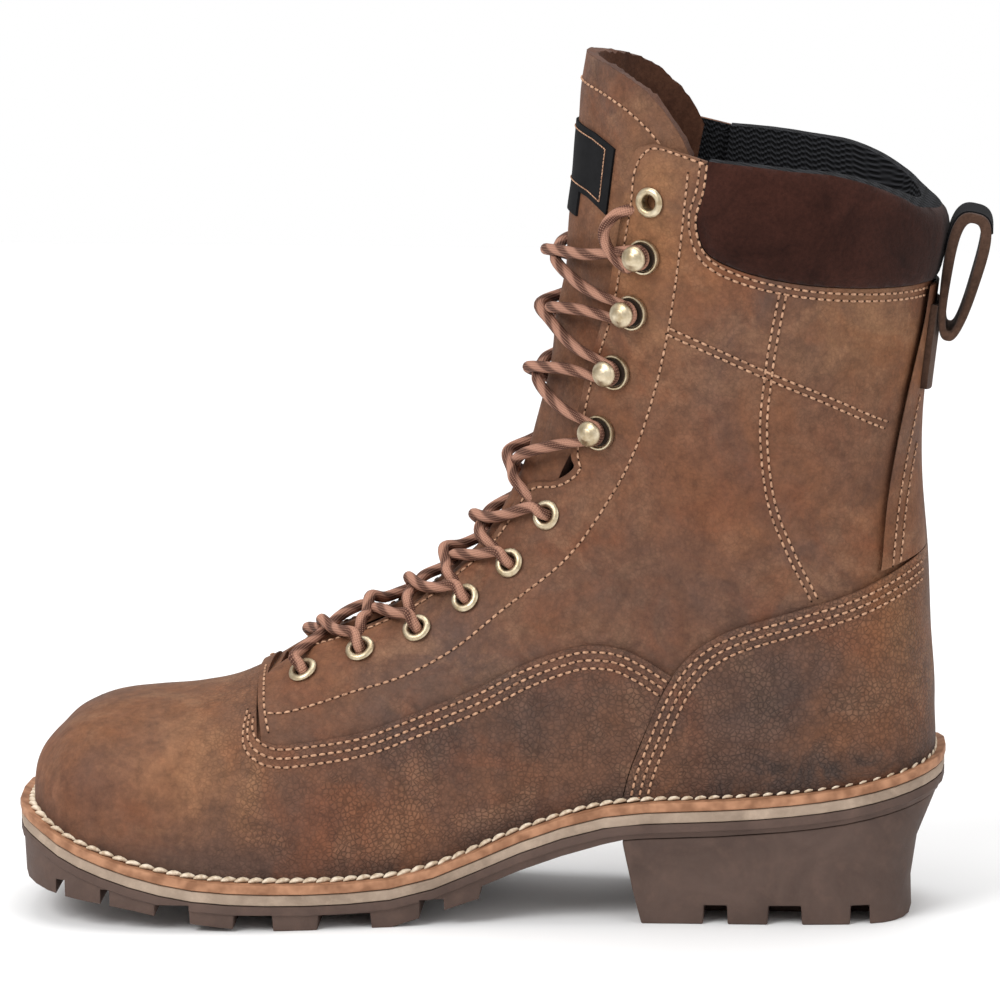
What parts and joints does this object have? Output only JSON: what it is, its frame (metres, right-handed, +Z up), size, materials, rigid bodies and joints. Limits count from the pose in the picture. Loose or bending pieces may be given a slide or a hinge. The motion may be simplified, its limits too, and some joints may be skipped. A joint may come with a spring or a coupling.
{
  "type": "logger boot",
  "caption": "Laced leather logger boot for the right foot, with a tall shaft, padded collar, hooks and eyelets, rear pull loop, stitched welt and a lugged sole with a high heel",
  "frame": {"origin": "centre of the bounding box in plan, on the plane that the sole stands on", "axes": "+X toward the heel and along the boot, +Y toward the lateral side, +Z up"},
  "size_m": [0.3284, 0.1114, 0.292],
  "materials": {
    "leather": "oiled brown leather with pebbled grain, scuffed and dusty",
    "collar_leather": "soft dark brown nubuck",
    "lining": "dark textured mesh lining",
    "welt": "tan welt with a cream rope stitch",
    "midsole": "dusty grey-beige midsole edge",
    "rubber": "worn dusty brown-grey rubber",
    "brass": "antique brass, dulled and rubbed",
    "lace": "round braided brown lace with pale flecks"
  },
  "bodies": {
    "root": {"upper": "leather", "vamp": "leather", "counter": "leather", "backstay": "leather", "collar": "collar_leather", "tongue": "leather", "insole": "lining", "welt": "welt", "midsole": "midsole", "outsole": "rubber", "heel": "rubber", "pull_loop": "collar_leather", "eyelet_medial_1": "brass", "eyelet_medial_2": "brass", "eyelet_medial_3": "brass", "eyelet_medial_4": "brass", "eyelet_medial_5": "brass", "eyelet_medial_6": "brass", "eyelet_medial_7": "brass", "hook_medial_1": "brass", "hook_medial_2": "brass", "hook_medial_3": "brass", "hook_medial_4": "brass", "eyelet_lateral_1": "brass", "eyelet_lateral_2": "brass", "eyelet_lateral_3": "brass", "eyelet_lateral_4": "brass", "eyelet_lateral_5": "brass", "eyelet_lateral_6": "brass", "eyelet_lateral_7": "brass", "hook_lateral_1": "brass", "hook_lateral_2": "brass", "hook_lateral_3": "brass", "hook_lateral_4": "brass", "lace_cross_1": "lace", "lace_cross_2": "lace", "lace_cross_3": "lace", "lace_cross_4": "lace", "lace_cross_5": "lace", "lace_cross_6": "lace", "lace_cross_7": "lace", "lace_cross_8": "lace", "lace_cross_9": "lace", "lace_bar": "lace"}
  },
  "joints": []
}
